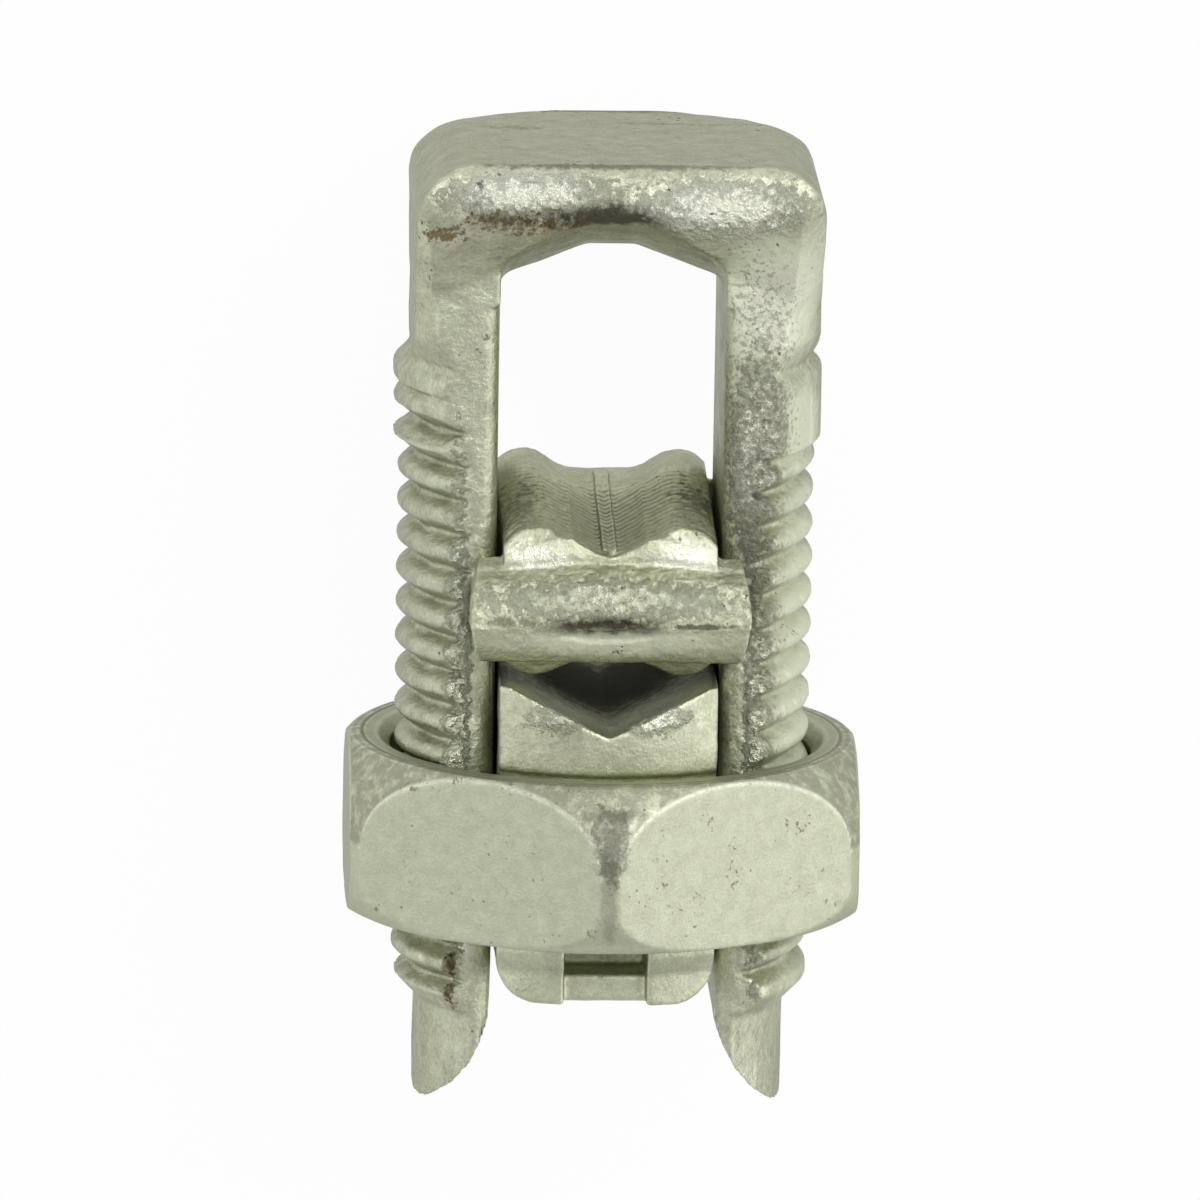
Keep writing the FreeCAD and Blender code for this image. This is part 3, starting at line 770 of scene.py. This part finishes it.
def tin_material(name, tones, satin, mottle, pits, bump, marks, zones, more_layers=None, edge_wear_and_sheen=0.7):
    """Tin plating: two greys that mottle, grime in pits, painted shade in corners, rubbed edges that
    are partly a painted highlight, and marks.

    The tones are dull tin, bright tin and grime, which also colours the painted shade in corners.
    Satin is the roughness of bright and of dull tin.
    A zone is the centre and radii of a coarse area, and more_layers gives what only one piece has.
    """
    material = bpy.data.materials.new(name)
    material.use_nodes = True
    tree = material.node_tree
    shader = tree.nodes["Principled BSDF"]
    place = bench_vector(tree)
    tin = group_node(tree, MOTTLE, place, mottle).outputs
    pit = group_node(tree, PITS, place, pits).outputs["Pit"]
    edge = group_node(tree, EDGES, place, {}).outputs
    lumps, layers = coarse_layers(tree, place, zones)
    layers += mark_layers(tree, place, marks)
    if more_layers:
        layers += more_layers(tree, place)
    dull, bright, grime = tones
    level = blend_of(tree, [(tin["Cloud"], 0.5), (tin["Speck"], 0.5)])
    colour = mix_colour(tree, level, dull, bright)
    rough = range_node(tree, level, 0.0, 1.0, satin[1], satin[0])
    metal = 1.0
    for kind, mask, strength in layers:
        factor = math_node(tree, "MULTIPLY", mask, strength)
        mark_colour, mark_roughness, mark_metal = MARKS[kind]
        colour = mix_colour(tree, factor, colour, mark_colour)
        rough = mix_value(tree, factor, rough, mark_roughness)
        metal = mix_value(tree, factor, metal, mark_metal)
    # Convex edges get lighter: partly rubbed tin, partly a painted highlight.
    rubbed_and_sheen = math_node(tree, "MULTIPLY", edge["Edge"], edge_wear_and_sheen)
    colour = mix_colour(tree, rubbed_and_sheen, colour, rubbed_tin_and_sheen)
    rough = mix_value(tree, rubbed_and_sheen, rough, rubbed_roughness)
    pit_soil = math_node(tree, "MULTIPLY", pit, 0.85)
    # Pits get grime, and concave corners get painted shade in the same dark tone.
    soil_and_corner_shade = math_node(tree, "MAXIMUM", pit_soil, math_node(tree, "MULTIPLY", edge["Corner Shade"], 0.6))
    feed(tree, shader.inputs["Base Color"], mix_colour(tree, soil_and_corner_shade, colour, grime))
    feed(tree, shader.inputs["Roughness"], mix_value(tree, soil_and_corner_shade, rough, 0.75))
    feed(tree, shader.inputs["Metallic"], mix_value(tree, soil_and_corner_shade, metal, 0.4))
    shader.inputs["Specular Tint"].default_value = (0.42, 0.42, 0.42, 1)
    shader.inputs["Specular IOR Level"].default_value = 0.12
    height = blend_of(tree, [(tin["Height"], 1.0), (pit, -0.35), (lumps, 2.6)])
    relief = add_node(tree, "ShaderNodeBump", {"Strength": 1.0, "Distance": bump, "Height": height})
    feed(tree, shader.inputs["Normal"], relief.outputs["Normal"])
    print(name, "has", len(layers), "layers of marks")
    return material


# %% [markdown]
# ## The finish of each piece
#
# All four share the plating, but not their history. The forgings are lumpy and grimy, the nut is
# machined and even, and the bar's groove is dirty and has painted shade. Most marks are the stains,
# worn spots and blemishes that this connector really has, and some are painted shade and painted
# highlights, each at its own place on the bench.

# %% The forging: rust, grime and painted shade under the nose, painted highlights on the nose, a milky right side that is partly painted light, painted dark edge lines, painted shade on the slot walls
bolt_marks = [
    # Milky tin and rubbed metal on the right of the head and legs: partly brighter plating, partly painted
    # light from the right.
    ("milky_and_highlight", (7.6, -6.4, 37.8), (4.2, 4.2, 4.6), 0.95, 0.15),
    ("worn", (7.4, -6.4, 37.6), (2.6, 3.0, 3.0), 0.6, 0.3),
    ("milky_and_highlight", (9.2, -3.6, 18.0), (2.6, 5.2, 19.0), 0.8, 0.25),
    ("milky_and_highlight", (8.6, -4.5, 31.8), (2.0, 3.6, 2.6), 0.8, 0.25),
    # Darker under the nose's bulge: painted shade, partly grime.
    ("grime", (-0.3, -7.7, 42.0), (3.7, 1.7, 0.95), 0.88, 0.45),
    ("grime", (-4.4, -7.6, 42.0), (2.6, 1.4, 0.7), 0.45, 0.9),
    ("rust", (-7.8, -7.4, 41.2), (1.2, 1.4, 0.45), 0.85, 2.2),
    ("rust", (-4.9, -7.6, 41.8), (1.9, 1.4, 0.5), 0.75, 2.2),
    ("rust", (-2.6, -7.5, 41.4), (1.6, 1.4, 0.5), 0.55, 2.2),
    # Painted highlights on the left and right of the nose.
    ("worn", (-4.3, -7.6, 43.4), (3.6, 1.5, 0.9), 0.9, 0.5),
    ("worn", (4.6, -7.7, 42.7), (4.2, 1.7, 1.4), 0.9, 0.5),
    # Painted dark lines along the head's top front and back edges, standing in for a dark reflection.
    ("grime", (0.0, -6.85, 44.3), (7.6, 0.5, 0.35), 0.6, 0.6),
    ("grime", (0.4, 6.8, 44.3), (7.4, 0.5, 0.4), 0.6, 0.8),
    ("grime", (-4.2, 2.5, 44.4), (1.4, 0.8, 0.5), 0.45, 1.4),
    ("grime", (3.2, 3.6, 44.4), (3.4, 0.35, 0.5), 0.4, 1.4),
    # A thin painted shade line under the step between the head and the right leg.
    ("grime", (5.6, -6.9, 38.7), (1.5, 1.1, 0.16), 0.5, 0.6),
    ("dull", (6.8, -6.1, 27.0), (2.3, 1.0, 11.5), 0.6, 2.0),
    ("grime", (6.4, -6.1, 27.0), (1.3, 0.7, 4.4), 0.4, 1.6),
    # Painted shade on the slot walls, between the legs and the bars.
    ("grime", (5.1, -0.8, 17.5), (0.4, 5.4, 8.0), 0.85, 0.3),
    ("grime", (-5.1, -0.8, 17.5), (0.4, 5.4, 8.0), 0.85, 0.3),
    ("rust", (-7.0, -6.2, 6.6), (0.4, 0.8, 2.0), 0.9, 0.8),
    ("rust", (-6.9, -6.1, 4.6), (0.3, 0.8, 1.0), 0.8, 0.8),
    ("rust", (-7.9, -6.1, 2.6), (0.3, 0.8, 0.9), 0.6, 0.8),
    ("grime", (7.0, -6.1, 3.6), (0.9, 0.7, 1.6), 0.3, 1.2),
]
bolt_zones = [
    ((-3.9, -7.7, 42.9), (4.6, 1.7, 1.3)),
    ((5.0, -7.7, 42.5), (4.6, 1.7, 1.5)),
    ((-6.9, -6.0, 18.0), (0.75, 0.9, 13.5)),
    ((6.9, -6.0, 17.5), (0.75, 0.9, 12.5)),
    ((6.7, -6.1, 30.5), (1.7, 0.9, 5.5)),
]
forged_tin = tin_material(
    "forged_tin", tones=((0.43, 0.44, 0.33), (0.72, 0.742, 0.56), (0.09, 0.083, 0.055)), satin=(0.3, 0.48),
    mottle={"Cloud Scale": 0.9, "Lump Scale": 1.7, "Grain Scale": 6.0, "Lump Share": 0.7},
    pits={"Pit Scale": 3.2, "Patch Scale": 0.35, "Amount": 0.5}, bump=0.00013,
    marks=bolt_marks, zones=bolt_zones)

# %% The nut: a stain down the front corner, turned bands on top, a bright burr along the crown that is partly a painted highlight
nut_marks = [
    ("grime", (0.0, -13.0, 13.9), (0.55, 0.8, 2.6), 0.55, 0.6),
    ("grime", (0.0, -12.4, 15.5), (1.7, 0.9, 0.5), 0.4, 0.8),
    ("dull", (0.0, -13.0, 12.0), (0.5, 0.8, 4.0), 0.5, 0.5),
]
nut_rings = [
    ("worn", 11.45, 0.09, 16.45, 0.8),
    ("grime", 10.95, 0.12, 16.3, 0.55),
    ("dull", 10.6, 0.3, 16.3, 0.35),
    ("worn", 11.15, 0.1, 16.3, 0.6),
]


def nut_layers(tree, place):
    """The bands, by kind, radius, half width, lowest height and strength, and the crown's marks."""
    layers = []
    for kind, radius, half_width, lowest, strength in nut_rings:
        values = {"Radius": radius, "Half Width": half_width, "Lowest": lowest}
        layers.append((kind, group_node(tree, RING, place, values).outputs["Mask"], strength))
    broken = range_node(tree, noise_node(tree, place, 1.6, 4.0, 0.65), 0.34, 0.56)
    # The burr's bright mark is partly rubbed tin, partly a painted highlight.
    for attribute, kind, strength in (("turned", "dull", 0.6), ("burr_and_highlight", "worn", 0.95)):
        mask = add_node(tree, "ShaderNodeAttribute", attribute_name=attribute).outputs["Fac"]
        layers.append((kind, math_node(tree, "MULTIPLY", mask, broken), strength))
    return layers


nut_tin = tin_material(
    "nut_tin", tones=((0.55, 0.57, 0.425), (0.65, 0.675, 0.505), (0.3, 0.27, 0.17)), satin=(0.36, 0.48),
    mottle={"Cloud Scale": 1.4, "Lump Scale": 1.8, "Grain Scale": 7.0, "Lump Share": 0.5},
    pits={"Pit Scale": 4.0, "Patch Scale": 0.6, "Amount": 0.6}, bump=0.00008,
    marks=nut_marks, zones=[((0.0, -12.9, 14.6), (0.9, 1.0, 2.2))], more_layers=nut_layers, edge_wear_and_sheen=0.2)

# %% The pressure bar: grime and painted shade in the groove, painted shade on the sides and in the pocket between the stakes, rubbed shoulders
bar_marks = [
    # Darker groove: partly grime, partly painted shade under the spacer.
    ("grime", (0.0, 0.6, 19.6), (5.6, 9.9, 3.3), 0.92, 0.2),
    # Painted shade on the bar's sides, in the gaps to the legs.
    ("grime", (4.95, -1.0, 18.0), (0.3, 8.6, 3.0), 0.85, 0.3),
    ("grime", (-4.95, -1.0, 18.0), (0.3, 8.6, 3.0), 0.85, 0.3),
    ("worn", (2.9, -9.5, 19.6), (1.7, 0.8, 0.9), 0.7, 0.9),
    ("dull", (-2.2, -9.6, 18.9), (2.0, 0.8, 0.9), 0.4, 1.4),
    # Painted shade in the recessed pocket between the stakes, below the nut.
    ("grime", (0.0, -8.2, 7.6), (1.9, 1.5, 0.6), 0.6, 0.8),
]
bar_zones = [
    ((2.6, -9.6, 19.3), (3.0, 0.9, 0.9)),
    ((-3.0, -9.6, 19.2), (2.6, 0.9, 0.8)),
]
bar_tin = tin_material(
    "bar_tin", tones=((0.50, 0.515, 0.375), (0.73, 0.755, 0.56), (0.11, 0.104, 0.072)), satin=(0.32, 0.46),
    mottle={"Cloud Scale": 0.6, "Lump Scale": 1.6, "Grain Scale": 6.0, "Lump Share": 0.6},
    pits={"Pit Scale": 3.8, "Patch Scale": 0.45, "Amount": 0.4}, bump=0.00009,
    marks=bar_marks, zones=bar_zones)

# %% The spacer bar: a scar and milky patches on the flange, grime in the serrations
spacer_marks = [
    ("grime", (-0.2, -8.9, 23.4), (3.7, 1.3, 0.7), 0.95, 0.25),
    ("grime", (4.2, -8.9, 23.5), (1.9, 1.0, 0.2), 0.75, 0.8),
    ("grime", (-4.4, -8.9, 23.7), (1.6, 1.0, 0.25), 0.5, 1.4),
    ("dull", (0.0, -1.6, 26.6), (4.4, 5.0, 1.9), 0.25, 0.6),
    ("grime", (-3.9, -2.6, 27.2), (1.2, 4.4, 1.6), 0.6, 1.4),
    ("grime", (3.9, -2.6, 27.2), (1.2, 4.4, 1.6), 0.6, 1.4),
    ("worn", (-3.2, -7.2, 26.3), (2.4, 1.2, 1.1), 0.9, 0.5),
    ("worn", (3.3, -7.2, 26.3), (2.4, 1.2, 1.1), 0.9, 0.5),
    ("milky_and_highlight", (0.0, -9.2, 22.6), (6.6, 1.2, 0.9), 0.6, 0.4),
    ("milky_and_highlight", (-3.4, -8.9, 24.5), (3.2, 1.2, 0.8), 0.6, 0.9),
    ("milky_and_highlight", (3.6, -8.9, 24.5), (3.2, 1.2, 0.8), 0.6, 0.9),
    ("worn", (-5.4, -8.3, 24.5), (0.5, 0.9, 0.35), 0.9, 0.7),
    ("worn", (5.8, -8.3, 24.2), (0.5, 0.9, 0.4), 0.9, 0.7),
]
spacer_zones = [
    ((0.0, -8.6, 24.6), (6.6, 1.3, 1.1)),
    ((0.0, -6.9, 26.0), (5.2, 0.8, 0.9)),
]


def serration_layers(tree, place):
    """Grime in the grooves between the serrations, in step with the waves of the skin."""
    lines = {"Direction": (0.0, math.cos(spacer_pitch), math.sin(spacer_pitch)),
             "Offset": spacer_middle * math.sin(spacer_pitch), "Pitch": serration_pitch}
    saddle = {"Centre": (0.0, -1.4, 27.2), "Radii": (6.0, 6.4, 2.6), "Breakup": 0.5}
    stripes = group_node(tree, STRIPES, place, lines).outputs["Mask"]
    where = group_node(tree, PATCH, place, saddle).outputs["Mask"]
    return [("grime", math_node(tree, "MULTIPLY", stripes, where), 0.6)]


spacer_tin = tin_material(
    "spacer_tin", tones=((0.47, 0.48, 0.345), (0.72, 0.74, 0.535), (0.07, 0.064, 0.042)), satin=(0.3, 0.48),
    mottle={"Cloud Scale": 0.8, "Lump Scale": 1.9, "Grain Scale": 5.5, "Lump Share": 0.55},
    pits={"Pit Scale": 3.0, "Patch Scale": 0.4, "Amount": 0.5}, bump=0.00013,
    marks=spacer_marks, zones=spacer_zones, more_layers=serration_layers)

# %% Put the pieces in place
to_floor(split_bolt, "bolt_body", "split_bolt", forged_tin)
to_floor(nut, "nut_body", "hex_nut", nut_tin)
to_floor(bar, "bar_body", "pressure_bar", bar_tin)
to_floor(spacer, "spacer_body", "spacer_bar", spacer_tin)

# %% [markdown]
# ## The floor
#
# The photo shows the connector against plain white. Turning the lamps up until a grey floor clips
# would bleach the tin too. So the floor is a pale, matt one for the light that falls on the piece,
# and Light Path makes it glow white to the camera, in reflections and through clear things. It still
# takes the shadow where the piece stands on it.

# %% Floor and backdrop
floor_half_side = 1.5
floor_grey = 0.86
floor_white_share = 0.96
backdrop_grey = 0.56


def make_floor():
    bm = bmesh.new()
    bmesh.ops.create_grid(bm, x_segments=1, y_segments=1, size=floor_half_side)
    mesh = bpy.data.meshes.new("floor")
    bm.to_mesh(mesh)
    bm.free()
    floor = bpy.data.objects.new("floor", mesh)
    bpy.context.scene.collection.objects.link(floor)
    material = bpy.data.materials.new("floor_white")
    material.use_nodes = True
    tree = material.node_tree
    shader = tree.nodes["Principled BSDF"]
    shader.inputs["Base Color"].default_value = (floor_grey, floor_grey, floor_grey, 1)
    shader.inputs["Roughness"].default_value = 0.9
    glow = add_node(tree, "ShaderNodeEmission", {"Color": (1, 1, 1, 1), "Strength": 1.0})
    path = add_node(tree, "ShaderNodeLightPath").outputs
    rays = math_node(tree, "MAXIMUM", path["Is Camera Ray"], path["Is Glossy Ray"])
    rays = math_node(tree, "MAXIMUM", rays, path["Is Transmission Ray"])
    mix = tree.nodes.new("ShaderNodeMixShader")
    feed(tree, mix.inputs[0], math_node(tree, "MULTIPLY", rays, floor_white_share))
    feed(tree, mix.inputs[1], shader.outputs["BSDF"])
    feed(tree, mix.inputs[2], glow.outputs["Emission"])
    feed(tree, tree.nodes["Material Output"].inputs["Surface"], mix.outputs[0])
    mesh.materials.append(material)
    return floor


make_floor()

world = bpy.data.worlds.new("studio")
bpy.context.scene.world = world
world.use_nodes = True
backdrop = world.node_tree.nodes["Background"]
backdrop.inputs["Color"].default_value = (backdrop_grey, backdrop_grey, backdrop_grey, 1)
backdrop.inputs["Strength"].default_value = 1.0
print("floor of", 2 * floor_half_side, "m, backdrop at", backdrop_grey)


# %% [markdown]
# ## Lamps
#
# The photo's light is soft, and stronger from the right: the nut's right flat is brighter than its
# left one. Satin metal shows what it reflects, so broad lamps are needed and not small strong ones.
# A key lamp stands to the right and above, a second one low on the right, and a weak one on the left.

# %% Lamps
lamp_target = (0, 0, 22)


def soft_lamp(name, place, size, watts):
    """A square lamp at a bench place in millimetres, which faces the piece."""
    light = bpy.data.lights.new(name, "AREA")
    light.size = size
    light.energy = watts
    lamp = bpy.data.objects.new(name, light)
    bpy.context.scene.collection.objects.link(lamp)
    stand = TO_FLOOR @ Vector(place)
    facing = (stand - TO_FLOOR @ Vector(lamp_target)).to_track_quat("Z", "Y").to_matrix().to_4x4()
    lamp.matrix_world = Matrix.Translation(stand) @ facing
    print(name, "at", [round(value, 3) for value in stand], "m")
    return lamp


soft_lamp("key_lamp", (190, -420, 320), 0.3, 1.25)
soft_lamp("side_lamp", (440, -180, -60), 0.35, 0.45)
soft_lamp("left_lamp", (-420, -260, 60), 0.35, 0.3)

# %% [markdown]
# ## Camera
#
# The photo looks at the front from a little above and a little to the left, with a long lens and a
# slight roll. Here the connector lies on its back, so the same view looks down on it. The camera is
# placed on the bench from those three angles, and the bench matrix takes it along with the piece.

# %% Camera
view_target = (-0.155, 0, 22.80)
view_turn = math.radians(2.36)
view_rise = math.radians(11.9)
view_roll = math.radians(0.97)
photo_width = 54.84
view_distance = 900
sensor_width = 36


def make_camera():
    level = math.cos(view_rise)
    toward = Vector((-math.sin(view_turn) * level, -math.cos(view_turn) * level, math.sin(view_rise)))
    right = Vector((0, 0, 1)).cross(toward).normalized()
    up = toward.cross(right)
    axes = Matrix((right, up, toward)).transposed().to_4x4() @ Matrix.Rotation(view_roll, 4, "Z")
    data = bpy.data.cameras.new("photo_camera")
    data.sensor_width = sensor_width
    data.lens = sensor_width * view_distance / photo_width
    data.clip_end = 10
    camera = bpy.data.objects.new("photo_camera", data)
    bpy.context.scene.collection.objects.link(camera)
    place = Vector(view_target) + toward * view_distance
    camera.matrix_world = Matrix.Translation(TO_FLOOR @ place) @ turn_part @ axes
    bpy.context.scene.camera = camera
    print("lens of", round(data.lens), "mm at", view_distance, "mm")
    return camera


make_camera()
bpy.context.scene.view_settings.view_transform = "Standard"
